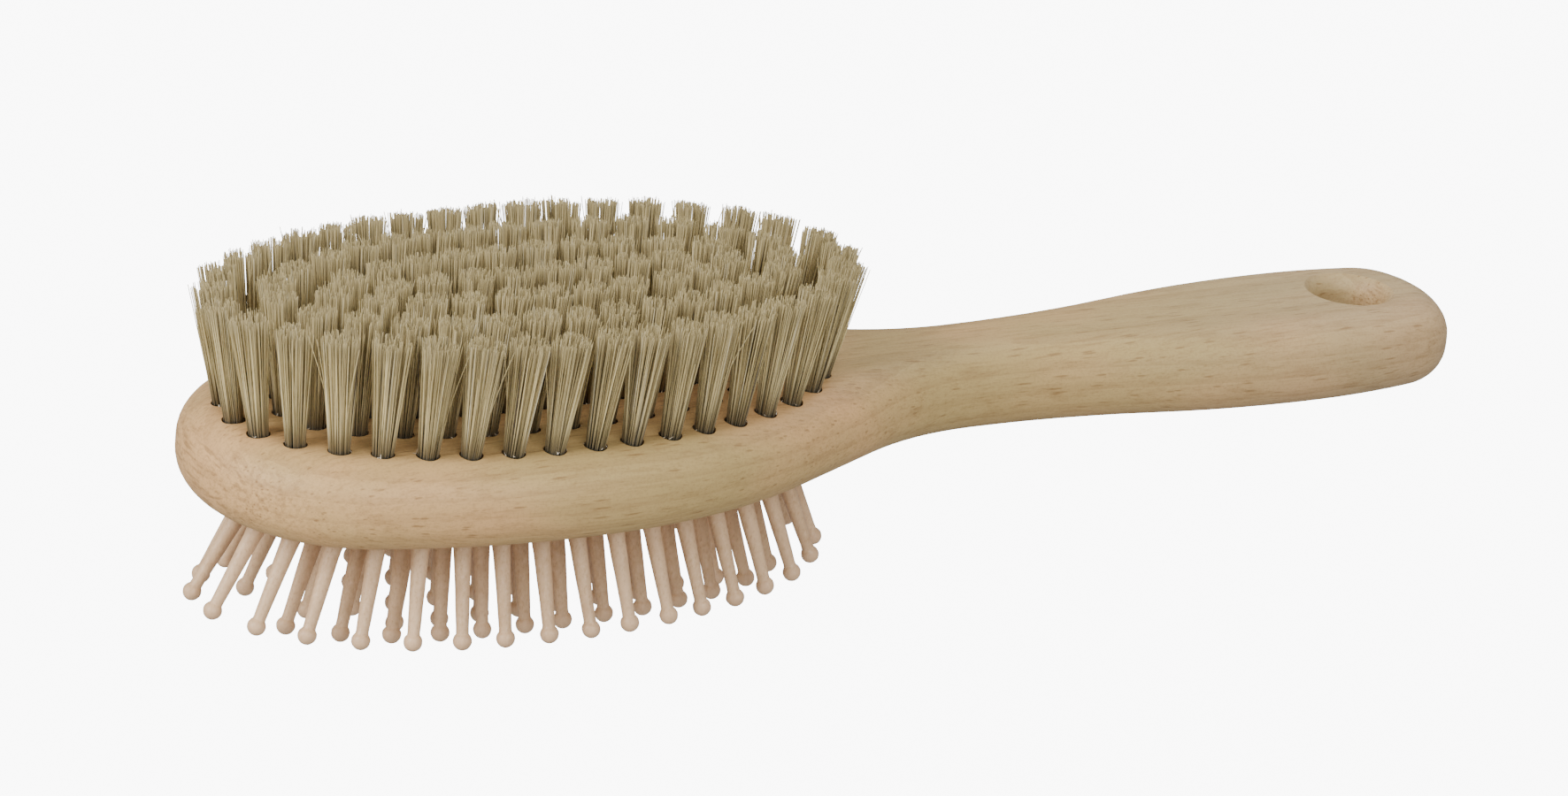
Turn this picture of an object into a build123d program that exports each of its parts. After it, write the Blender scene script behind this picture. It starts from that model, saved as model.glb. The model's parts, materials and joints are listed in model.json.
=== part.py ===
"""Two-sided wooden grooming brush: bristle tufts on top, ball-ended wooden pins on an air cushion below.

Frame: millimetres, +X from the head to the end of the handle, +Z towards the bristles.
The origin is the centre of the hanging hole, on the mid-plane of the wood.
"""

from build123d import *
import os
from math import atan2, cos, degrees, hypot, pi, sin, sqrt

# ---------------------------------------------------------------- wooden body
HEAD_X = -151.0  # the middle of the oval head, seen from the hanging hole
HEAD_HALF_LENGTH = 55.0
HALF_THICKNESS = 7.1
EDGE_RADIUS = 6.4
# the outline of one side, from the nose to the end of the handle, as arcs that run on smoothly:
# (radius, turn in degrees), turning right when negative, or (None, length) for a straight run
OUTLINE = [
    (27.0, -73.74),  # nose
    (127.0, -18.96),  # side of the head
    (86.0, -23.1),  # shoulder
    (None, 19.0),
    (46.6, 25.8),  # into the neck
    (165.3, 10.93),
    (165.3, -10.93),  # swelling of the handle
    (110.0, -9.7),
    (11.0, -55.3),  # corner of the handle's end
]

HOLE_RADIUS = 6.0
HOLE_RIM_RADIUS = 7.7
HOLE_WALL_HALF = 4.3  # the straight wall of the hanging hole, either side of the mid-plane
HOLE_RIM_RISE = 3.0

# ---------------------------------------------------------------- bristle tufts
TUFT_RINGS = [(48.6, 24.8, 37), (40.4, 16.5, 29), (32.2, 8.2, 21)]  # half length, half width, tufts
TUFT_CENTRE_ROW = 8
TUFT_CENTRE_HALF_LENGTH = 23.0
TUFT_OVAL = 2.15
TUFT_HEIGHT = 18.8
TUFT_CROWN = 0.4
TUFT_FOOT_RADIUS = 1.7
TUFT_TOP_RADIUS = 2.95
TUFT_LEAN_SIDE = 0.16  # outward lean of the outermost tufts, as a slope
TUFT_LEAN_END = 0.16
RING_STEPS = 720  # fineness of the ring when tufts are spaced along it
TUFT_HOLE_RADIUS = 1.8
TUFT_HOLE_DEPTH = 6.4
TUFT_FOOT_GAP = 0.2

ANCHOR_WIDTH = 4.3
ANCHOR_THICKNESS = 0.35
ANCHOR_HEIGHT = 1.6
ANCHOR_LIFT = 0.9  # the folded bristles pass under the anchor
ANCHOR_GAP = 0.04

# ---------------------------------------------------------------- air cushion
RECESS_HALF_LENGTH = 48.4
RECESS_HALF_WIDTH = 23.8
RECESS_FLOOR_Z = -1.75
GROOVE_DEPTH = 1.7
GROOVE_TOP_Z = -2.8
GROOVE_BOTTOM_Z = -4.6
CUSHION_GAP = 0.1
CUSHION_RIM_Z = -6.8
CUSHION_RISE = 3.9
CUSHION_WALL = 1.3
DOME_END_EXPONENT = 5.0
DOME_SIDE_EXPONENT = 2.1
DOME_LEVELS = [0.0, 0.15, 0.35, 0.55, 0.75, 0.9, 0.98]  # share of the rise
HALVINGS = 20
VENT_RADIUS = 0.9
VENT_OFFSET = (2.9, 3.2)

# ---------------------------------------------------------------- wooden pins
PIN_RING = (44.6, 19.6, 34)  # half length, half width, pins
PIN_RING_OVAL = 2.1
PIN_INNER_HALF_LENGTH = 38.5
PIN_INNER_HALF_WIDTH = 12.9
PIN_INNER_OVAL = 2.5
PIN_CENTRE_HALF_LENGTH = 36.0
PIN_NEAR_Y = 6.4
PIN_NEAR_HALF_LENGTH = 25.0
PIN_SET = 0.07  # the pins lean a little towards the handle in the middle of the field
PIN_SET_FADE = 1.9
PIN_LEAN_END = 0.50
PIN_LEAN_SIDE = 0.34
PIN_HEAD_RADIUS = 1.9
PIN_HEAD_HEIGHT = 1.2
PIN_HEAD_GAP = 0.9
PIN_NECK_RADIUS = 1.25
PIN_HOLE_RADIUS = 1.33
PIN_COLLAR_RADIUS = 1.75
PIN_COLLAR_GAP = 0.35
PIN_COLLAR_HEIGHT = 2.0
PIN_ROOT_RADIUS = 1.3
PIN_TIP_RADIUS = 0.96
PIN_LENGTH = 15.75  # from the cushion to the middle of the ball
PIN_BALL_RADIUS = 1.43

os.makedirs("parts", exist_ok=True)

# ---------------------------------------------------------------- places of the tufts


def ring_places(half_length, half_width, count, oval):
    """Evenly spaced (x, y) round a ring, x from the head's middle. Oval 2 is an ellipse, more is squarer."""
    outline = []
    for step in range(RING_STEPS + 1):
        c, s = cos(2 * pi * step / RING_STEPS), sin(2 * pi * step / RING_STEPS)
        x = half_length * abs(c) ** (2 / oval) * (1 if c > 0 else -1)
        y = half_width * abs(s) ** (2 / oval) * (1 if s > 0 else -1)
        outline.append((x, y))
    run = [0.0]
    for start, end in zip(outline, outline[1:]):
        run.append(run[-1] + hypot(end[0] - start[0], end[1] - start[1]))
    places = []
    for place in range(count):
        target = run[-1] * (place + 0.5) / count
        places.append(next(point for point, length in zip(outline, run) if length >= target))
    return places


def tuft_location(x, y):
    """Where a tuft leaves the wood, with its own z axis along the bristles."""
    lean_x = TUFT_LEAN_END * (x / TUFT_RINGS[0][0]) ** 3
    lean_y = TUFT_LEAN_SIDE * y / TUFT_RINGS[0][1]
    foot = (HEAD_X + x, y, HALF_THICKNESS)
    return Plane(foot, x_dir=(1, 0, 0), z_dir=(lean_x, lean_y, 1)).location


tuft_groups = {}
for ring, (half_length, half_width, count) in enumerate(TUFT_RINGS, start=1):
    places = ring_places(half_length, half_width, count, TUFT_OVAL)
    tuft_groups[f"ring_{ring}"] = [tuft_location(x, y) for x, y in places]
tuft_groups["centre_row"] = [
    tuft_location(TUFT_CENTRE_HALF_LENGTH * (2 * tuft / (TUFT_CENTRE_ROW - 1) - 1), 0)
    for tuft in range(TUFT_CENTRE_ROW)
]
tuft_locations = [place for group in tuft_groups.values() for place in group]
anchor_z = TUFT_FOOT_GAP - TUFT_HOLE_DEPTH + ANCHOR_LIFT + ANCHOR_HEIGHT / 2
anchor_slot = (
    ANCHOR_WIDTH + 2 * ANCHOR_GAP,
    ANCHOR_THICKNESS + 2 * ANCHOR_GAP,
    ANCHOR_HEIGHT + 2 * ANCHOR_GAP,
)

# ---------------------------------------------------------------- wooden body
with BuildPart() as wooden_body:
    with BuildSketch(Plane.XY.offset(-HALF_THICKNESS)):
        with BuildLine():
            corner = Vector(HEAD_X - HEAD_HALF_LENGTH, 0)
            heading = Vector(0, 1)
            for radius, run in OUTLINE:
                if radius is None:
                    piece = Line(corner, corner + heading * run)
                else:
                    piece = JernArc(start=corner, tangent=heading, radius=radius, arc_size=run)
                corner, heading = piece @ 1, piece % 1
            # the last arc meets the middle line at a right angle
            JernArc(
                start=corner,
                tangent=heading,
                radius=corner.Y / heading.X,
                arc_size=degrees(atan2(-heading.Y, heading.X)) - 90,
            )
            mirror(about=Plane.XZ)
        make_face()
    extrude(amount=2 * HALF_THICKNESS)
    fillet(wooden_body.faces().filter_by(Axis.Z).edges(), EDGE_RADIUS)
    # drilled tuft holes, with the slot that each anchor cuts
    with Locations(*tuft_locations):
        Hole(TUFT_HOLE_RADIUS, TUFT_HOLE_DEPTH)
        with Locations((0, 0, anchor_z)):
            Box(*anchor_slot, mode=Mode.SUBTRACT)
    # the recess for the air cushion, with a groove round its wall
    with BuildSketch(Plane.XY.offset(RECESS_FLOOR_Z)):
        with Locations((HEAD_X, 0)):
            Ellipse(RECESS_HALF_LENGTH, RECESS_HALF_WIDTH)
    extrude(amount=-HALF_THICKNESS, mode=Mode.SUBTRACT)
    with BuildSketch(Plane.XY.offset(GROOVE_TOP_Z)):
        with Locations((HEAD_X, 0)):
            Ellipse(RECESS_HALF_LENGTH + GROOVE_DEPTH, RECESS_HALF_WIDTH + GROOVE_DEPTH)
    extrude(amount=GROOVE_BOTTOM_Z - GROOVE_TOP_Z, mode=Mode.SUBTRACT)
    # the hanging hole, its rim flared and rounded on both faces
    with BuildSketch(Plane.XZ):
        with BuildLine():
            Polyline((0, 0), (HOLE_RADIUS, 0), (HOLE_RADIUS, HOLE_WALL_HALF))
            flare = TangentArc(
                (HOLE_RADIUS, HOLE_WALL_HALF),
                (HOLE_RIM_RADIUS, HOLE_WALL_HALF + HOLE_RIM_RISE),
                tangent=(0, 1),
            )
            Polyline(flare @ 1, (0, HOLE_WALL_HALF + HOLE_RIM_RISE), (0, 0))
        make_face()
        mirror(about=Plane.XZ)
    revolve(axis=Axis.Z, mode=Mode.SUBTRACT)

wooden_body.part.label = "wooden_body"
export_step(wooden_body.part, "parts/wooden_body.step")

# ---------------------------------------------------------------- bristle tufts and their anchors
with BuildPart() as tuft_form:
    with BuildSketch(Plane.XZ):
        with BuildLine():
            crown = TangentArc(
                (0, TUFT_HEIGHT), (TUFT_TOP_RADIUS, TUFT_HEIGHT - TUFT_CROWN), tangent=(1, 0)
            )
            Polyline(
                crown @ 0,
                (0, TUFT_FOOT_GAP - TUFT_HOLE_DEPTH),
                (TUFT_FOOT_RADIUS, TUFT_FOOT_GAP - TUFT_HOLE_DEPTH),
                (TUFT_FOOT_RADIUS, 0),
                crown @ 1,
            )
        make_face()
    revolve(axis=Axis.Z)
    with Locations((0, 0, anchor_z)):
        Box(*anchor_slot, mode=Mode.SUBTRACT)

for name, places in tuft_groups.items():
    with BuildPart() as tufts:
        with Locations(*places):
            add(tuft_form.part)
    tufts.part.label = f"tufts_{name}"
    export_step(tufts.part, f"parts/tufts_{name}.step")

    with BuildPart() as anchors:
        with Locations(*places):
            with Locations((0, 0, anchor_z)):
                Box(ANCHOR_WIDTH, ANCHOR_THICKNESS, ANCHOR_HEIGHT)
    anchors.part.label = f"tuft_anchors_{name}"
    export_step(anchors.part, f"parts/tuft_anchors_{name}.step")

# ---------------------------------------------------------------- air cushion
cushion_length = RECESS_HALF_LENGTH - CUSHION_GAP
cushion_width = RECESS_HALF_WIDTH - CUSHION_GAP


def dome_axes(half_length, half_width, level):
    """Half length and half width of a dome at a share of its rise."""
    return (
        half_length * (1 - level) ** (1 / DOME_END_EXPONENT),
        half_width * (1 - level) ** (1 / DOME_SIDE_EXPONENT),
    )


def dome(half_length, half_width, rise):
    """A domed form below the rim, as one closed solid."""
    with BuildPart() as form:
        for level in DOME_LEVELS:
            with BuildSketch(Plane.XY.offset(CUSHION_RIM_Z - rise * level)):
                with Locations((HEAD_X, 0)):
                    Ellipse(*dome_axes(half_length, half_width, level))
        loft(ruled=True)
    return form.part


def dome_level(x, y):
    """Share of the dome's rise at (x, y), found by halving between the rim and the flat crown."""
    low, high = DOME_LEVELS[0], DOME_LEVELS[-1]
    for halving in range(HALVINGS):
        level = (low + high) / 2
        half_length, half_width = dome_axes(cushion_length, cushion_width, level)
        inside = hypot(x / half_length, y / half_width) < 1
        low, high = (level, high) if inside else (low, level)
    return low


def pin_location(x, y):
    """Where a pin leaves the cushion, with its own z axis towards the pin's ball."""
    root = (HEAD_X + x, y, CUSHION_RIM_Z - CUSHION_RISE * dome_level(x, y))
    share = x / PIN_RING[0]
    lean_x = PIN_SET * (1 - PIN_SET_FADE * share**2) + PIN_LEAN_END * (share + share**3) / 2
    lean_y = PIN_LEAN_SIDE * y / PIN_RING[1]
    return Plane(root, x_dir=(1, 0, 0), z_dir=(lean_x, lean_y, -1)).location


outer_places = sorted((x, y) for x, y in ring_places(*PIN_RING, PIN_RING_OVAL) if y > 0)
pin_rows = []
for row, (x, outer_y) in enumerate(outer_places):
    places = [(x, outer_y), (x, -outer_y)]
    if abs(x) < PIN_INNER_HALF_LENGTH:
        share = abs(x) / PIN_INNER_HALF_LENGTH
        inner_y = PIN_INNER_HALF_WIDTH * (1 - share**PIN_INNER_OVAL) ** (1 / PIN_INNER_OVAL)
        places += [(x, inner_y), (x, -inner_y)]
    if abs(x) < PIN_CENTRE_HALF_LENGTH:
        places.append((x, 0))
    if abs(x) < PIN_NEAR_HALF_LENGTH:
        between = (x + outer_places[row + 1][0]) / 2
        places += [(between, PIN_NEAR_Y), (between, -PIN_NEAR_Y)]
    pin_rows.append([pin_location(x, y) for x, y in places])
pin_locations = [place for places in pin_rows for place in places]

with BuildPart() as rubber_cushion:
    add(dome(cushion_length, cushion_width, CUSHION_RISE))
    with BuildSketch(Plane.XY.offset(CUSHION_RIM_Z)):
        with Locations((HEAD_X, 0)):
            Ellipse(cushion_length, cushion_width)
    extrude(amount=GROOVE_TOP_Z - CUSHION_GAP - CUSHION_RIM_Z)
    with BuildSketch(Plane.XY.offset(GROOVE_TOP_Z - CUSHION_GAP)):
        with Locations((HEAD_X, 0)):
            Ellipse(
                RECESS_HALF_LENGTH + GROOVE_DEPTH - CUSHION_GAP,
                RECESS_HALF_WIDTH + GROOVE_DEPTH - CUSHION_GAP,
            )
    extrude(amount=GROOVE_BOTTOM_Z - GROOVE_TOP_Z + 2 * CUSHION_GAP)
    with BuildSketch(Plane.XY.offset(CUSHION_RIM_Z)):
        with Locations((HEAD_X, 0)):
            Ellipse(cushion_length - CUSHION_WALL, cushion_width - CUSHION_WALL)
    extrude(amount=HALF_THICKNESS, mode=Mode.SUBTRACT)
    add(
        dome(cushion_length - CUSHION_WALL, cushion_width - CUSHION_WALL, CUSHION_RISE - CUSHION_WALL),
        mode=Mode.SUBTRACT,
    )
    with Locations(*pin_locations):
        Hole(PIN_HOLE_RADIUS, PIN_HEAD_HEIGHT + PIN_HEAD_GAP + CUSHION_WALL)
    with Locations((HEAD_X + VENT_OFFSET[0], VENT_OFFSET[1], CUSHION_RIM_Z - CUSHION_RISE)):
        Hole(VENT_RADIUS, CUSHION_RISE)

rubber_cushion.part.label = "rubber_cushion"
export_step(rubber_cushion.part, "parts/rubber_cushion.step")

# ---------------------------------------------------------------- wooden pins
head_base_z = -CUSHION_WALL - PIN_HEAD_GAP - PIN_HEAD_HEIGHT
ball_joint_z = PIN_LENGTH - sqrt(PIN_BALL_RADIUS**2 - PIN_TIP_RADIUS**2)

with BuildPart() as pin_form:
    with BuildSketch(Plane.XZ):
        with BuildLine():
            ball = ThreePointArc(
                (PIN_TIP_RADIUS, ball_joint_z),
                (PIN_BALL_RADIUS, PIN_LENGTH),
                (0, PIN_LENGTH + PIN_BALL_RADIUS),
            )
            Polyline(
                ball @ 1,
                (0, head_base_z),
                (PIN_HEAD_RADIUS, head_base_z),
                (PIN_HEAD_RADIUS, head_base_z + PIN_HEAD_HEIGHT),
                (PIN_NECK_RADIUS, head_base_z + PIN_HEAD_HEIGHT),
                (PIN_NECK_RADIUS, PIN_COLLAR_GAP),
                (PIN_COLLAR_RADIUS, PIN_COLLAR_GAP),
                (PIN_ROOT_RADIUS, PIN_COLLAR_GAP + PIN_COLLAR_HEIGHT),
                ball @ 0,
            )
        make_face()
    revolve(axis=Axis.Z)

for row, places in enumerate(pin_rows, start=1):
    with BuildPart() as pins:
        with Locations(*places):
            add(pin_form.part)
    pins.part.label = f"pins_row_{row:02d}"
    export_step(pins.part, f"parts/pins_row_{row:02d}.step")
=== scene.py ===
import json
import math

import bpy
import numpy as np
from mathutils import Matrix, Vector


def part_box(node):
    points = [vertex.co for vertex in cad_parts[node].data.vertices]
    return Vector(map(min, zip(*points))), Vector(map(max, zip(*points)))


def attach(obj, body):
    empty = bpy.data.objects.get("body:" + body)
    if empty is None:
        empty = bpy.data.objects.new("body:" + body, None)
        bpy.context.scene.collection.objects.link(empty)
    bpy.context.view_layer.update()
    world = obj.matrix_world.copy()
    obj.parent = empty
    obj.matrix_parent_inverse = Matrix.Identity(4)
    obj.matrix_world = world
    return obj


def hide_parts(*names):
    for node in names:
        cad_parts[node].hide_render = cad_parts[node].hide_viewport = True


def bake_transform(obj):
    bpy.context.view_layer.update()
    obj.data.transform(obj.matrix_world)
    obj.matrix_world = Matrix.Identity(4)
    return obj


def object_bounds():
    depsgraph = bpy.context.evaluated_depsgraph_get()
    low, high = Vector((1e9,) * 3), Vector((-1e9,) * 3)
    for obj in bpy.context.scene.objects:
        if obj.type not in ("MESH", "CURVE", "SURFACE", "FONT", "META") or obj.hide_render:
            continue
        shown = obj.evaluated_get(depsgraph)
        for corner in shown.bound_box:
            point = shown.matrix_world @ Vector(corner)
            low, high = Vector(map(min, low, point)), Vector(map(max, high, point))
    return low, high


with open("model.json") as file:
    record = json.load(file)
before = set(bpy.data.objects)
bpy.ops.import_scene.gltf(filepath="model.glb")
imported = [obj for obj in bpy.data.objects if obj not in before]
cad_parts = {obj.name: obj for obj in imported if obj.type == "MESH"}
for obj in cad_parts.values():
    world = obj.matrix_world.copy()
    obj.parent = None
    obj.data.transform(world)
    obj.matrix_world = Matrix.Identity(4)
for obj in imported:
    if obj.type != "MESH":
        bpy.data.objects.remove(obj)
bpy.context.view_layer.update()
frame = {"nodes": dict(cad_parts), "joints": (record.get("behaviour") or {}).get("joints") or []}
nodes = frame["nodes"]
joints = {joint["name"]: joint for joint in frame["joints"]}

MM = 0.001
SEED = 11
rng = np.random.default_rng(SEED)

# ---------------------------------------------------------------- sizes, in millimetres
BRISTLES_PER_TUFT = 190
BRISTLE_RINGS = 5
BRISTLE_SIDES = 3
BRISTLE_ROOT = 0.112
BRISTLE_TIP = 0.07
TUFT_ROOT = 1.43
TUFT_FLARE = 2.12
TUFT_SINK = 0.9
CLUMPS_PER_TUFT = 7
CLUMP_REACH = 0.95
CLUMP_PULL = 0.18
CLUMP_HEIGHT_SPREAD = 0.16
FLARE_SPREAD = 0.04
TIP_SPREAD = 0.16
TUFT_TILT_SPREAD = 0.14
BEND_SPREAD = 0.17
STRAY_SHARE = 0.02
STRAY_BEND = 1.6
TIP_BELOW_CAD = 0.1
HEIGHT_SPREAD = 0.16
HEIGHT_LIMIT = 0.5
SHORT_SHARE = 0.035
SHORT_BY = 5.0
HAIR_WIDTH_SPREAD = 0.13
HAIR_TAPER = 1.6

PIN_SIDES = 24
# the turned pin, from its head inside the cushion to its neck: (distance from the root, radius)
PIN_PROFILE = [
    (-3.4, 0.0), (-3.4, 1.6), (-3.3, 1.85), (-3.05, 1.9), (-2.45, 1.9), (-2.25, 1.8), (-2.2, 1.3),
    (-2.0, 1.25), (-0.6, 1.25), (0.1, 1.27), (0.3, 1.5), (0.42, 1.7), (0.65, 1.72), (0.95, 1.64),
    (1.3, 1.53), (1.8, 1.43), (2.5, 1.35), (3.5, 1.29), (5.5, 1.22), (8.0, 1.14), (10.5, 1.06),
    (12.5, 1.0), (13.7, 0.965), (14.35, 0.955), (14.6, 0.98),
]
PIN_BALL = 1.43
PIN_BALL_AT = 15.75
PIN_BALL_RINGS = 12
PIN_NECK = 0.985
PIN_WOBBLE = 0.012
PIN_BOW = 0.05
PIN_BOW_LENGTH = 10

CUSHION_RINGS = 90
CUSHION_SPOKES = 320
CUSHION_BOSS = 0.5
CUSHION_BOSS_WIDTH = 1.9
CUSHION_BOSS_DIMPLE = 0.55
CUSHION_DIMPLE_WIDTH = 1.3
CUSHION_GROOVE = 1.7 * MM
CUSHION_EDGE_POWER = 1.35
CENTRE_SHARE = 0.997
INNER_CENTRE_SHARE = 0.02
DOME_END_EXPONENT = 5.0
DOME_SIDE_EXPONENT = 2.1
DOME_CROWN = 0.98
HALVINGS = 24
CUSHION_WALL = 1.3 * MM
INNER_RINGS = 24
# the lip in its groove: (how far it reaches past the rim, height)
CUSHION_LIP = [(0.0, -4.65), (1.55, -4.5), (1.55, -2.95), (-1.25, -2.95)]
VENT_AT = (2.9, 3.2)
VENT_RADIUS = 0.9
VENT_RIM = 0.35
VENT_RIM_AT = 1.5
VENT_DEPTH = 2.2
VENT_WIDTH = 0.8

FIBRES_PER_HOLE = 5
FIBRE_REACH = (1.66, 1.84)
FIBRE_LENGTH = (0.25, 0.75)
FIBRE_HALF_WIDTH = (0.05, 0.13)
FIBRE_THICKNESS = 0.05 * MM
# painted shade: the body turns darker and greyer from here towards the handle end
HANDLE_SHADE_START = -70 * MM
HANDLE_SHADE_END = 15 * MM
CREASE_REACH = 7 * MM

# ---------------------------------------------------------------- the light and the camera
CAMERA_AZIMUTH = 31.107
CAMERA_ELEVATION = 21.316
CAMERA_ROLL = 5.527
CAMERA_LENS = 132.78
CAMERA_DISTANCE = 874.7 * MM
AIM_RIGHT = 38.85 * MM
AIM_UP = -2.08 * MM
FLOOR_GLOW = 9.0
FLOOR_SIZE = 8.0
FLOOR_DROP = 55 * MM
SKY = 0.5
LIGHT_SIZE = 0.8
# each light: (name, metres to the right of the aim, up, towards the camera, watts)
LIGHTS = [
    ("key", -0.85, 0.42, 0.62, 17.0),
    ("fill", 0.4, 0.12, 1.0, 8.5),
    ("rim", 0.4, 0.9, -0.5, 3.5),
]


# ---------------------------------------------------------------- meshes


def mesh_object(name, points, *face_groups, smooth=True, **point_values):
    """A mesh from points in metres and arrays of faces, with named numbers on its points."""
    mesh = bpy.data.meshes.new(name)
    mesh.vertices.add(len(points))
    mesh.vertices.foreach_set("co", np.asarray(points, np.float32).ravel())
    corners = np.concatenate([faces.ravel() for faces in face_groups])
    sides = np.concatenate([np.full(len(faces), faces.shape[1]) for faces in face_groups])
    mesh.loops.add(len(corners))
    mesh.loops.foreach_set("vertex_index", corners.astype(np.int32))
    mesh.polygons.add(len(sides))
    mesh.polygons.foreach_set("loop_start", np.concatenate([[0], np.cumsum(sides)[:-1]]).astype(np.int32))
    mesh.polygons.foreach_set("use_smooth", np.full(len(sides), smooth))
    mesh.update(calc_edges=True)
    for key, values in point_values.items():
        attribute = mesh.attributes.new(key, "FLOAT", "POINT")
        attribute.data.foreach_set("value", np.asarray(values, np.float32).ravel())
    mesh.validate()
    made = bpy.data.objects.new(name, mesh)
    bpy.context.scene.collection.objects.link(made)
    return made


def tube_faces(tubes, rings, sides):
    """Quads of many tubes whose points run tube by tube, ring by ring."""
    tube, ring, side = np.meshgrid(
        np.arange(tubes), np.arange(rings - 1), np.arange(sides), indexing="ij"
    )
    here = (tube * rings + ring) * sides
    following = (side + 1) % sides
    quads = np.stack([here + side, here + following, here + sides + following, here + sides + side], -1)
    return quads.reshape(-1, 4)


def cap_faces(tubes, rings, sides, ring, outwards):
    """One face across a ring of every tube."""
    start = (np.arange(tubes) * rings + ring)[:, None] * sides
    order = np.arange(sides)[None, :] if outwards else np.arange(sides)[None, ::-1]
    return start + order


def solids(node):
    """The separate solids of a CAD node, each as an array of points in metres."""
    mesh = nodes[node].data
    points = np.empty(len(mesh.vertices) * 3)
    mesh.vertices.foreach_get("co", points)
    keys, places = np.unique(
        np.round(points.reshape(-1, 3) / (0.0001 * MM)).astype(np.int64), axis=0, return_inverse=True
    )
    edges = np.empty(len(mesh.edges) * 2, np.int64)
    mesh.edges.foreach_get("vertices", edges)
    edges = places.ravel()[edges.reshape(-1, 2)]
    labels = np.arange(len(keys))
    while True:
        lowest = np.minimum(labels[edges[:, 0]], labels[edges[:, 1]])
        found = labels.copy()
        np.minimum.at(found, edges[:, 0], lowest)
        np.minimum.at(found, edges[:, 1], lowest)
        found = found[found]
        if (found == labels).all():
            break
        labels = found
    return [keys[labels == label] * 0.0001 * MM for label in np.unique(labels)]


def middle_line(points, upwards):
    """(start, end) of the middle line of a long turned solid."""
    height = points[:, 2] if upwards else -points[:, 2]
    low, high = np.quantile(height, [0.2, 0.8])
    line = points[height >= high].mean(0) - points[height <= low].mean(0)
    for _ in range(4):
        line /= np.linalg.norm(line)
        along = points @ line
        start = points[along < along.min() + 0.4 * MM].mean(0)
        end = points[along > along.max() - 1.3 * MM].mean(0)
        line = end - start
    line /= np.linalg.norm(line)
    along = points @ line
    return start + line * (along.min() - start @ line), start + line * (along.max() - start @ line)


def cross_axes(line):
    """Two directions square to each line, for an (n, 3) array of lines."""
    first = np.cross(line, [0.0, 1.0, 0.0])
    first /= np.linalg.norm(first, axis=-1, keepdims=True)
    return first, np.cross(line, first)


def disc(count):
    """Random places inside a circle of radius 1."""
    radius = np.sqrt(rng.random(count))
    turn = rng.random(count) * 2 * math.pi
    return np.stack([radius * np.cos(turn), radius * np.sin(turn)], -1)


# ---------------------------------------------------------------- materials


class Look:
    """A procedural material built node by node; positions are the row frame's, in metres."""

    def __init__(self, name):
        self.material = bpy.data.materials.new(name)
        self.material.use_nodes = True
        self.tree = self.material.node_tree
        self.shader = self.tree.nodes["Principled BSDF"]
        self.place = self.add("ShaderNodeTexCoord").outputs["Object"]

    def add(self, kind, settings=None, **inputs):
        made = self.tree.nodes.new(kind)
        for key, value in (settings or {}).items():
            setattr(made, key, value)
        for key, value in inputs.items():
            self.feed(made.inputs[key.replace("_", " ")], value)
        return made

    def feed(self, socket, value):
        if isinstance(value, bpy.types.NodeSocket):
            self.tree.links.new(value, socket)
        else:
            socket.default_value = value

    def value(self, name):
        return self.add("ShaderNodeAttribute", {"attribute_name": name}).outputs["Fac"]

    def math(self, operation, a, b=0.0):
        made = self.tree.nodes.new("ShaderNodeMath")
        made.operation = operation
        self.feed(made.inputs[0], a)
        self.feed(made.inputs[1], b)
        return made.outputs[0]

    def stretched(self, scale, offset=(0, 0, 0)):
        mapping = self.add("ShaderNodeMapping", Vector=self.place)
        mapping.inputs["Scale"].default_value = scale
        mapping.inputs["Location"].default_value = offset
        return mapping.outputs[0]

    def noise(self, scale, detail=3.0, rough=0.55):
        made = self.add(
            "ShaderNodeTexNoise",
            Vector=self.stretched(scale),
            Scale=1.0,
            Detail=detail,
            Roughness=rough,
        )
        return made.outputs["Fac"]

    def ramp(self, value, low, high, start=0.0, end=1.0):
        made = self.add("ShaderNodeMapRange", Value=value)
        for key, number in zip(["From Min", "From Max", "To Min", "To Max"], [low, high, start, end]):
            made.inputs[key].default_value = number
        made.interpolation_type = "SMOOTHSTEP"
        return made.outputs[0]

    def mix(self, a, b, share, blend="MIX"):
        made = self.add("ShaderNodeMix", {"data_type": "RGBA", "blend_type": blend})
        self.feed(made.inputs[0], share)
        self.feed(made.inputs[6], (*a, 1.0) if isinstance(a, tuple) else a)
        self.feed(made.inputs[7], (*b, 1.0) if isinstance(b, tuple) else b)
        return made.outputs[2]

    def bump(self, height, distance, strength=1.0, normal=None):
        made = self.add("ShaderNodeBump", Height=height, Strength=strength, Distance=distance)
        if normal is not None:
            self.feed(made.inputs["Normal"], normal)
        return made.outputs[0]

    def finish(self, colour, roughness, normal=None, specular=0.5):
        self.feed(self.shader.inputs["Base Color"], colour)
        self.feed(self.shader.inputs["Roughness"], roughness)
        self.shader.inputs["Specular IOR Level"].default_value = specular
        if normal is not None:
            self.feed(self.shader.inputs["Normal"], normal)
        return self.material


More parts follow.
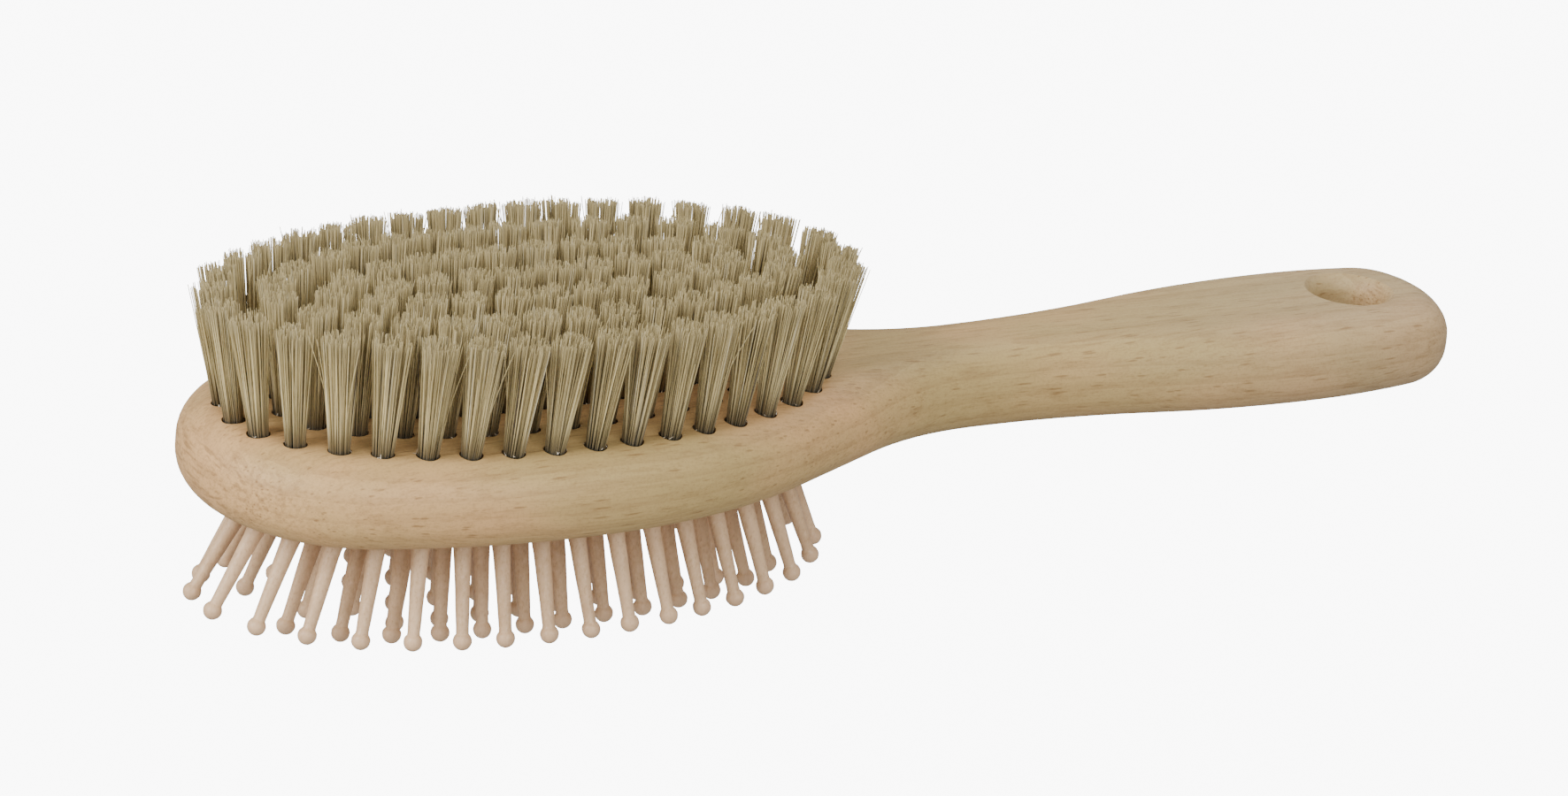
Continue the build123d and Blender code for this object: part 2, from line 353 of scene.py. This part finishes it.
def beech(name, pale, warm, dark, handle_shade, fleck_share):
    """Sanded beech, grain along X: faint growth bands, short dark flecks, pinkish end grain with painted
    light on the lit nose end, painted shade greying it towards the handle, and painted shade in creases and
    holes.
    """
    look = Look(name)
    broad = look.noise((18, 40, 40), 2.0)
    fibre = look.noise((110, 1900, 1900), 5.0, 0.65)
    mottle = look.noise((120, 420, 420), 3.0)
    fine = look.noise((2500, 2500, 2500), 2.0)
    bands = look.add(
        "ShaderNodeTexWave",
        {"wave_type": "RINGS", "rings_direction": "X", "wave_profile": "SAW"},
        Vector=look.stretched((4.0, 100.0, 100.0), offset=(0.0, 2.2, -9.0)),
        Scale=1.0,
        Distortion=2.6,
        Detail=2.0,
        Detail_Scale=1.4,
    ).outputs["Fac"]
    cells = look.add(
        "ShaderNodeTexVoronoi", Vector=look.stretched((150, 1500, 1500)), Scale=1.0, Randomness=1.0
    )
    picked = look.add("ShaderNodeSeparateColor", Color=cells.outputs["Color"]).outputs[0]
    fleck = look.math(
        "MULTIPLY",
        look.ramp(cells.outputs["Distance"], 0.33, 0.13),
        look.math("GREATER_THAN", picked, 1.0 - fleck_share),
    )
    small_cells = look.add(
        "ShaderNodeTexVoronoi", Vector=look.stretched((520, 3600, 3600)), Scale=1.0, Randomness=1.0
    )
    pore = look.ramp(small_cells.outputs["Distance"], 0.34, 0.08)
    facing = look.add("ShaderNodeSeparateXYZ", Vector=look.add("ShaderNodeNewGeometry").outputs["Normal"])
    # only the nose end, facing the key light, is picked: end grain, and painted light on the lit end
    end_grain_and_painted_light = look.ramp(facing.outputs[0], -0.45, -0.95)
    # painted shade: ambient occlusion finds the creases, the tuft holes and the hanging hole
    crease_shade = look.add("ShaderNodeAmbientOcclusion", {"samples": 4}, Distance=CREASE_REACH).outputs["AO"]

    colour = look.mix(pale, warm, look.ramp(broad, 0.35, 0.68))
    # warmer, brighter nose end: pinkish end-grain tone, and painted light where the key light falls
    colour = look.mix(colour, warm, look.math("MULTIPLY", end_grain_and_painted_light, 0.85))
    along = look.add("ShaderNodeSeparateXYZ", Vector=look.place).outputs[0]
    # painted shade: darker and greyer from the nose towards the handle, away from the key light
    colour = look.mix(colour, handle_shade, look.ramp(along, HANDLE_SHADE_START, HANDLE_SHADE_END, 0.0, 0.5))
    colour = look.mix(colour, dark, look.math("MULTIPLY", look.ramp(bands, 0.5, 1.0), 0.17))
    colour = look.mix(colour, dark, look.math("MULTIPLY", look.ramp(fibre, 0.45, 0.75), 0.34))
    colour = look.mix(colour, dark, look.math("MULTIPLY", look.ramp(mottle, 0.5, 0.75), 0.22))
    colour = look.mix(colour, dark, look.math("MULTIPLY", pore, look.ramp(mottle, 0.3, 0.7, 0.06, 0.42)))
    colour = look.mix(colour, dark, look.math("MULTIPLY", fleck, 0.5))
    colour = look.mix(colour, dark, look.math("MULTIPLY", look.ramp(fine, 0.45, 0.7), 0.16))
    # painted shade darkens the wood in creases and holes
    colour = look.mix(colour, dark, look.ramp(crease_shade, 0.7, 0.25, 0.0, 0.45))
    streak = look.noise((2200, 150, 1500), 3.0)
    colour = look.mix(colour, dark, look.math("MULTIPLY", look.ramp(streak, 0.46, 0.66, 0.0, 0.5), end_grain_and_painted_light))
    rough = look.ramp(fibre, 0.3, 0.75, 0.46, 0.62)
    normal = look.bump(fibre, 0.05 * MM, 0.5)
    normal = look.bump(fleck, -0.05 * MM, 0.6, normal)
    normal = look.bump(fine, 0.015 * MM, 0.5, normal)
    return look.finish(colour, rough, normal, 0.35)


def pin_wood():
    """Turned, waxed wood: pinkish, speckled, a little darker at the root as painted shade, each pin its own
    tone.
    """
    look = Look("pin_wood_turned")
    tone = look.value("tone")
    along = look.value("along")
    speckle = look.noise((2600, 2600, 1300), 3.0, 0.6)
    cloud = look.noise((350, 350, 200), 2.0)
    rings = look.noise((30, 30, 5200), 2.0)
    colour = look.mix((0.64, 0.425, 0.24), (0.74, 0.50, 0.29), tone)
    colour = look.mix(colour, (0.36, 0.19, 0.09), look.math("MULTIPLY", look.ramp(speckle, 0.5, 0.72), 0.34))
    colour = look.mix(colour, (0.80, 0.56, 0.36), look.math("MULTIPLY", look.ramp(speckle, 0.46, 0.32), 0.5))
    colour = look.mix(colour, (0.42, 0.24, 0.12), look.math("MULTIPLY", look.ramp(cloud, 0.45, 0.75), 0.35))
    # painted shade: the pin darkens towards its root, under the wood and the cushion
    colour = look.mix(colour, (0.36, 0.20, 0.10), look.ramp(along, 0.16, 0.0, 0.0, 0.30))
    colour = look.mix(colour, (0.72, 0.47, 0.28), look.ramp(along, 0.93, 1.0, 0.0, 0.4))
    normal = look.bump(speckle, 0.04 * MM, 0.6)
    normal = look.bump(rings, 0.02 * MM, 0.5, normal)
    return look.finish(colour, look.ramp(speckle, 0.3, 0.7, 0.34, 0.52), normal, 0.45)


def bristle_hair():
    """Natural bristle: khaki, darker at the root and at the tip as painted shade, a few dark hairs."""
    look = Look("bristle_hair")
    tone = look.value("tone")
    along = look.value("along")
    streak = look.noise((3000, 3000, 260), 2.0)
    colour = look.mix((0.40, 0.315, 0.14), (0.86, 0.71, 0.36), look.ramp(tone, 0.05, 0.9))
    colour = look.mix(colour, (0.95, 0.88, 0.62), look.ramp(tone, 0.93, 0.97, 0.0, 0.7))
    colour = look.mix(colour, (0.07, 0.05, 0.03), look.math("LESS_THAN", tone, 0.02))
    # painted shade: the hair darkens towards the root, deep inside the tuft
    colour = look.mix(colour, (0.19, 0.15, 0.07), look.ramp(along, 0.45, 0.02, 0.0, 0.8))
    # painted shade: the cut tips darken, so the tuft tops read less lit from above
    colour = look.mix(colour, (0.31, 0.24, 0.105), look.ramp(along, 0.7, 1.0, 0.0, 0.68))
    colour = look.mix(colour, (0.22, 0.16, 0.07), look.math("MULTIPLY", look.ramp(streak, 0.5, 0.75), 0.30))
    normal = look.bump(streak, 0.02 * MM, 0.4)
    made = look.finish(colour, look.ramp(streak, 0.3, 0.7, 0.42, 0.6), normal, 0.4)
    look.shader.inputs["Sheen Weight"].default_value = 0.08
    return made


def cushion_rubber():
    """Natural rubber: tan, matt, faintly cloudy, with a fine moulded skin and dust near the pins."""
    look = Look("cushion_rubber")
    cloud = look.noise((90, 90, 90), 3.0)
    skin = look.noise((1500, 1500, 1500), 3.0)
    worn = look.value("boss")
    colour = look.mix((0.50, 0.29, 0.15), (0.62, 0.40, 0.23), look.ramp(cloud, 0.35, 0.7))
    colour = look.mix(colour, (0.70, 0.52, 0.34), look.math("MULTIPLY", worn, 0.35))
    colour = look.mix(colour, (0.33, 0.18, 0.09), look.math("MULTIPLY", look.ramp(skin, 0.55, 0.8), 0.25))
    return look.finish(colour, look.ramp(skin, 0.3, 0.7, 0.55, 0.75), look.bump(skin, 0.04 * MM, 0.6), 0.3)


def anchor_wire():
    """Flat drawn wire with draw marks and a little tarnish."""
    look = Look("anchor_wire")
    marks = look.noise((300, 6000, 6000), 2.0)
    tarnish = look.noise((400, 400, 400), 3.0)
    colour = look.mix((0.62, 0.61, 0.59), (0.36, 0.33, 0.30), look.ramp(tarnish, 0.45, 0.75))
    look.shader.inputs["Metallic"].default_value = 1.0
    return look.finish(colour, look.ramp(marks, 0.3, 0.7, 0.25, 0.45), look.bump(marks, 0.01 * MM, 0.5))


def torn_fibre():
    """Pale slivers of wood that drilling leaves at the rims of the holes."""
    look = Look("torn_fibre")
    streak = look.noise((900, 900, 900), 2.0)
    colour = look.mix((0.72, 0.61, 0.45), (0.86, 0.78, 0.64), look.ramp(streak, 0.35, 0.65))
    return look.finish(colour, look.ramp(streak, 0.3, 0.7, 0.6, 0.8), look.bump(streak, 0.02 * MM, 0.5), 0.3)


def studio_floor():
    """A plain pale sweep, lit from behind where the camera sees it and clear when seen from below."""
    look = Look("studio_floor")
    cloud = look.noise((6, 6, 6), 2.0)
    colour = look.mix((0.30, 0.30, 0.30), (0.34, 0.34, 0.34), cloud)
    seen = look.add("ShaderNodeLightPath").outputs["Is Camera Ray"]
    look.shader.inputs["Emission Color"].default_value = (1.0, 1.0, 1.0, 1.0)
    look.feed(look.shader.inputs["Emission Strength"], look.math("MULTIPLY", seen, FLOOR_GLOW))
    below = look.add("ShaderNodeNewGeometry").outputs["Backfacing"]
    look.feed(look.shader.inputs["Alpha"], look.math("SUBTRACT", 1.0, below))
    return look.finish(colour, look.ramp(cloud, 0.3, 0.7, 0.75, 0.85), None, 0.15)


# ---------------------------------------------------------------- wooden body
body = nodes["wooden_body"]
body.data.materials.clear()
body.data.materials.append(
    beech(
        "beech_body",
        pale=(0.52, 0.37, 0.148),
        warm=(0.70, 0.415, 0.180),
        dark=(0.22, 0.11, 0.035),
        # the colour of the painted shade towards the handle end
        handle_shade=(0.40, 0.335, 0.205),
        fleck_share=0.36,
    )
)

face_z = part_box("wooden_body")[1].z
groups = ["ring_1", "ring_2", "ring_3", "centre_row"]

wire = anchor_wire()
for group in groups:
    anchors = nodes[f"tuft_anchors_{group}"]
    anchors.data.materials.clear()
    anchors.data.materials.append(wire)

# ---------------------------------------------------------------- bristles
hair = bristle_hair()
feet = []


def tuft_bristles(start, end):
    """Middle lines (n, rings, 3) of one tuft's bristles, in metres, and two directions square to the tuft."""
    line = (end - start) / np.linalg.norm(end - start)
    foot = start + line * (face_z - start[2]) / line[2]
    feet.append((foot, line))
    length = np.linalg.norm(end - foot) / MM
    across, aside = cross_axes(line[None])
    root = disc(BRISTLES_PER_TUFT)
    clumps = disc(CLUMPS_PER_TUFT) * CLUMP_REACH
    clump_height = rng.normal(0, CLUMP_HEIGHT_SPREAD, CLUMPS_PER_TUFT)
    nearest = np.linalg.norm(root[:, None] - clumps[None], axis=-1).argmin(1)
    spread = TUFT_FLARE * rng.normal(1.0, FLARE_SPREAD)
    tip = root * (1 - CLUMP_PULL) + clumps[nearest] * CLUMP_PULL
    tip = tip * spread * TUFT_ROOT + rng.normal(0, TIP_SPREAD, tip.shape)
    tip += rng.normal(0, TUFT_TILT_SPREAD, 2)
    bend = rng.normal(0, BEND_SPREAD, tip.shape)
    stray = rng.random(BRISTLES_PER_TUFT) < STRAY_SHARE
    bend[stray] += rng.normal(0, STRAY_BEND, (stray.sum(), 2))
    height = length - TIP_BELOW_CAD + clump_height[nearest]
    height += rng.normal(0, HEIGHT_SPREAD, BRISTLES_PER_TUFT)
    height = np.minimum(height, length + HEIGHT_LIMIT)
    short = rng.random(BRISTLES_PER_TUFT) < SHORT_SHARE
    height[short] -= rng.random(short.sum()) * SHORT_BY
    share = np.linspace(0, 1, BRISTLE_RINGS)[None, :, None]
    flat = root[:, None] * TUFT_ROOT * (1 - share) + tip[:, None] * share
    flat = flat + bend[:, None] * (share**2 * 1.4 - share**3 * 0.4)
    up = -TUFT_SINK + (height[:, None] + TUFT_SINK) * share[..., 0]
    points = foot + MM * (flat[..., :1] * across + flat[..., 1:] * aside + up[..., None] * line)
    return points, across[0], aside[0]


for group in groups:
    node = f"tufts_{group}"
    paths, firsts, seconds = [], [], []
    for tuft in solids(node):
        points, across, aside = tuft_bristles(*middle_line(tuft, True))
        paths.append(points)
        firsts.append(np.broadcast_to(across, (len(points), 3)))
        seconds.append(np.broadcast_to(aside, (len(points), 3)))
    path = np.concatenate(paths)
    first, second = np.concatenate(firsts), np.concatenate(seconds)
    count = len(path)
    width = rng.normal(1.0, HAIR_WIDTH_SPREAD, count)[:, None]
    share = np.linspace(0, 1, BRISTLE_RINGS)[None, :]
    radius = MM * width * (BRISTLE_ROOT + (BRISTLE_TIP - BRISTLE_ROOT) * share**HAIR_TAPER)
    turn = rng.random(count)[:, None] * 2 * math.pi
    turn = turn + np.arange(BRISTLE_SIDES) * 2 * math.pi / BRISTLE_SIDES
    ring = np.cos(turn)[:, None, :, None] * first[:, None, None]
    ring = ring + np.sin(turn)[:, None, :, None] * second[:, None, None]
    points = (path[:, :, None] + radius[:, :, None, None] * ring).reshape(-1, 3)
    tone = np.repeat(rng.random(count), BRISTLE_RINGS * BRISTLE_SIDES)
    along = np.tile(np.repeat(share[0], BRISTLE_SIDES), count)
    bristles = mesh_object(
        f"bristles_{group}",
        points,
        tube_faces(count, BRISTLE_RINGS, BRISTLE_SIDES),
        cap_faces(count, BRISTLE_RINGS, BRISTLE_SIDES, BRISTLE_RINGS - 1, True),
        cap_faces(count, BRISTLE_RINGS, BRISTLE_SIDES, 0, False),
        tone=tone,
        along=along,
    )
    bristles.data.materials.append(hair)
    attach(bristles, "brush_body")
    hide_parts(node)

# ---------------------------------------------------------------- torn fibres at the tuft holes
splinters = []
for foot, line in feet:
    for _ in range(rng.integers(1, FIBRES_PER_HOLE + 1)):
        turn = rng.random() * 2 * math.pi
        reach = rng.uniform(*FIBRE_REACH) * MM
        base = foot + reach * np.array([math.cos(turn), math.sin(turn), 0.0])
        base[2] = face_z - FIBRE_THICKNESS
        lean = np.array([rng.normal(0, 1.0), rng.normal(0, 0.5), rng.uniform(0.35, 1.3)])
        lean = lean / np.linalg.norm(lean) * rng.uniform(*FIBRE_LENGTH) * MM
        half = np.array([-math.sin(turn), math.cos(turn), 0.0]) * rng.uniform(*FIBRE_HALF_WIDTH) * MM
        thick = np.array([math.cos(turn), math.sin(turn), 0.0]) * FIBRE_THICKNESS
        tip = base + lean
        foot_corners = [base - half, base + half, base + thick]
        tip_corners = [tip - half / 3, tip + half / 3, tip + thick / 2]
        splinters.append(np.array(foot_corners + tip_corners))
splinters = np.array(splinters)
fibres = mesh_object(
    "torn_fibres",
    splinters.reshape(-1, 3),
    tube_faces(len(splinters), 2, 3),
    cap_faces(len(splinters), 2, 3, 1, True),
    cap_faces(len(splinters), 2, 3, 0, False),
    smooth=False,
)
fibres.data.materials.append(torn_fibre())
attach(fibres, "brush_body")

# ---------------------------------------------------------------- turned pins
turned = pin_wood()
ball_turns = np.linspace(math.asin(PIN_NECK / PIN_BALL), math.pi, PIN_BALL_RINGS)
ball_profile = [
    (PIN_BALL_AT - PIN_BALL * math.cos(turn), PIN_BALL * math.sin(turn)) for turn in ball_turns
]
profile = np.array(PIN_PROFILE[1:] + ball_profile[:-1])
pin_roots = []
row_names = sorted(name for name in nodes if name.startswith("pins_row_"))

for row in row_names:
    points, tones, alongs = [], [], []
    pins = solids(row)
    for pin in pins:
        start, end = middle_line(pin, False)
        line = (end - start) / np.linalg.norm(end - start)
        root = start - line * PIN_PROFILE[0][0] * MM
        pin_roots.append(root)
        across, aside = cross_axes(line[None])
        side = np.arange(PIN_SIDES) * 2 * math.pi / PIN_SIDES + rng.random() * 6
        wobble = 1 + rng.normal(0, PIN_WOBBLE, (len(profile), 1))
        wobble = wobble + PIN_WOBBLE * np.cos(2 * side + rng.random() * 6)[None]
        bow = rng.normal(0, PIN_BOW, 2) * (profile[:, :1] / PIN_BOW_LENGTH) ** 2
        radius = profile[:, 1:] * wobble
        flat_x = radius * np.cos(side)[None] + bow[:, :1]
        flat_y = radius * np.sin(side)[None] + bow[:, 1:]
        up = profile[:, 0][:, None, None]
        ring = root + MM * (flat_x[..., None] * across[0] + flat_y[..., None] * aside[0] + up * line)
        points.append(ring.reshape(-1, 3))
        tones.append(np.full(ring.shape[0] * PIN_SIDES, rng.random()))
        alongs.append(np.repeat(profile[:, 0] / PIN_BALL_AT, PIN_SIDES))
    rings = len(profile)
    turned_row = mesh_object(
        f"turned_{row}",
        np.concatenate(points),
        tube_faces(len(pins), rings, PIN_SIDES),
        cap_faces(len(pins), rings, PIN_SIDES, rings - 1, True),
        cap_faces(len(pins), rings, PIN_SIDES, 0, False),
        tone=np.concatenate(tones),
        along=np.concatenate(alongs),
    )
    turned_row.data.materials.append(turned)
    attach(turned_row, row)
    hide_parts(row)

# ---------------------------------------------------------------- air cushion
cushion_low, cushion_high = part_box("rubber_cushion")
middle = np.array([(cushion_low.x + cushion_high.x) / 2, (cushion_low.y + cushion_high.y) / 2])
press = joints["cushion_press"]["deforming_nodes"][0]
rim_z = press["fixed_end_z_m"]
rise = (rim_z - cushion_low.z) / DOME_CROWN
half_length = (cushion_high.x - cushion_low.x) / 2 - CUSHION_GROOVE
half_width = (cushion_high.y - cushion_low.y) / 2 - CUSHION_GROOVE


def dome_drop(x, y):
    """How far the cushion hangs below its rim at (x, y), by halving between the rim and the crown."""
    low = np.zeros_like(x)
    high = np.full_like(x, DOME_CROWN)
    for _ in range(HALVINGS):
        level = (low + high) / 2
        long_side = half_length * (1 - level) ** (1 / DOME_END_EXPONENT)
        short_side = half_width * (1 - level) ** (1 / DOME_SIDE_EXPONENT)
        inside = np.hypot(x / long_side, y / short_side) < 1
        low = np.where(inside, level, low)
        high = np.where(inside, high, level)
    return rise * low


def rim_ring(grow, level):
    """A ring round the cushion's rim, grown sideways and at a height, both in millimetres."""
    edge_x = (half_length + grow * MM) * np.cos(spoke) + middle[0]
    edge_y = (half_width + grow * MM) * np.sin(spoke) + middle[1]
    return np.stack([edge_x, edge_y, np.full_like(spoke, level * MM)], -1)


share = 1 - np.linspace(CENTRE_SHARE, 0, CUSHION_RINGS) ** CUSHION_EDGE_POWER
spoke = np.arange(CUSHION_SPOKES) * 2 * math.pi / CUSHION_SPOKES
x = half_length * share[:, None] * np.cos(spoke)[None]
y = half_width * share[:, None] * np.sin(spoke)[None]
drop = dome_drop(x, y)
roots = np.array(pin_roots)[:, :2] - middle
away = np.sqrt(((np.stack([x, y], -1)[:, :, None] - roots) ** 2).sum(-1)).min(-1) / MM
boss = np.exp(-((away / CUSHION_BOSS_WIDTH) ** 4)) * np.minimum(1, (1 - share[:, None]) * 8)
vent = np.hypot(x / MM - VENT_AT[0], y / MM - VENT_AT[1]) / VENT_RADIUS
dimple = CUSHION_BOSS_DIMPLE * np.exp(-((away / CUSHION_DIMPLE_WIDTH) ** 4))
drop = drop + CUSHION_BOSS * MM * boss * (1 - dimple)
drop = drop + VENT_RIM * MM * np.exp(-((vent - VENT_RIM_AT) ** 2) * 6)
drop = drop - VENT_DEPTH * MM * np.exp(-((vent / VENT_WIDTH) ** 6))
skin = np.stack([x + middle[0], y + middle[1], rim_z - drop], -1)
# the rim turns up into the recess and out into its groove, and the inner skin closes the shell
inner_share = np.linspace(1, INNER_CENTRE_SHARE, INNER_RINGS)
inner_x = (half_length - CUSHION_WALL) * inner_share[:, None] * np.cos(spoke)[None]
inner_y = (half_width - CUSHION_WALL) * inner_share[:, None] * np.sin(spoke)[None]
inner_drop = np.maximum(dome_drop(inner_x, inner_y) - CUSHION_WALL, 0)
inner = np.stack([inner_x + middle[0], inner_y + middle[1], rim_z - inner_drop], -1)
lip = np.array([rim_ring(grow, level) for grow, level in CUSHION_LIP])
sheet = np.concatenate([skin, lip, inner])
worn = np.zeros(sheet.shape[:2])
worn[: len(boss)] = boss
cushion = mesh_object(
    "cushion_skin",
    sheet.reshape(-1, 3),
    tube_faces(1, len(sheet), CUSHION_SPOKES),
    cap_faces(1, len(sheet), CUSHION_SPOKES, len(sheet) - 1, True),
    cap_faces(1, len(sheet), CUSHION_SPOKES, 0, False),
    boss=worn,
)
cushion.data.materials.append(cushion_rubber())
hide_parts("rubber_cushion")
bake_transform(cushion)

# ---------------------------------------------------------------- floor, light and camera
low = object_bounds()[0]
bpy.ops.mesh.primitive_plane_add(size=FLOOR_SIZE, location=(middle[0], 0, low.z - FLOOR_DROP))
floor = bpy.context.object
floor.name = "studio_floor"
floor.data.materials.append(studio_floor())

world = bpy.data.worlds.new("studio")
bpy.context.scene.world = world
world.use_nodes = True
sky = world.node_tree.nodes["Background"]
sky.inputs["Color"].default_value = (1.0, 1.0, 1.0, 1.0)
sky.inputs["Strength"].default_value = SKY

azimuth, elevation, roll = map(math.radians, (CAMERA_AZIMUTH, CAMERA_ELEVATION, CAMERA_ROLL))
back = Vector(
    (-math.sin(azimuth) * math.cos(elevation), -math.cos(azimuth) * math.cos(elevation), math.sin(elevation))
)
level_right = Vector((math.cos(azimuth), -math.sin(azimuth), 0))
level_up = back.cross(level_right)
right = math.cos(roll) * level_right + math.sin(roll) * level_up
up = math.cos(roll) * level_up - math.sin(roll) * level_right
aim = Vector((middle[0], middle[1], face_z)) + AIM_RIGHT * right + AIM_UP * up


def soft_light(name, from_right, from_up, from_back, power):
    """A square area light placed by the camera's own directions, looking at the aim."""
    data = bpy.data.lights.new(name, "AREA")
    data.size = LIGHT_SIZE
    data.energy = power
    lamp = bpy.data.objects.new(name, data)
    bpy.context.scene.collection.objects.link(lamp)
    lamp.location = aim + from_right * right + from_up * Vector((0, 0, 1)) + from_back * back
    lamp.rotation_euler = (aim - lamp.location).to_track_quat("-Z", "Y").to_euler()


for light in LIGHTS:
    soft_light(*light)

camera_data = bpy.data.cameras.new("camera")
camera_data.lens = CAMERA_LENS
camera_data.sensor_width = 36.0
camera_data.clip_start = 0.05
camera_data.clip_end = 20.0
camera = bpy.data.objects.new("camera", camera_data)
bpy.context.scene.collection.objects.link(camera)
camera.matrix_world = Matrix(
    (
        (right.x, up.x, back.x, 0),
        (right.y, up.y, back.y, 0),
        (right.z, up.z, back.z, 0),
        (0, 0, 0, 1),
    )
)
camera.location = aim + CAMERA_DISTANCE * back
bpy.context.scene.camera = camera
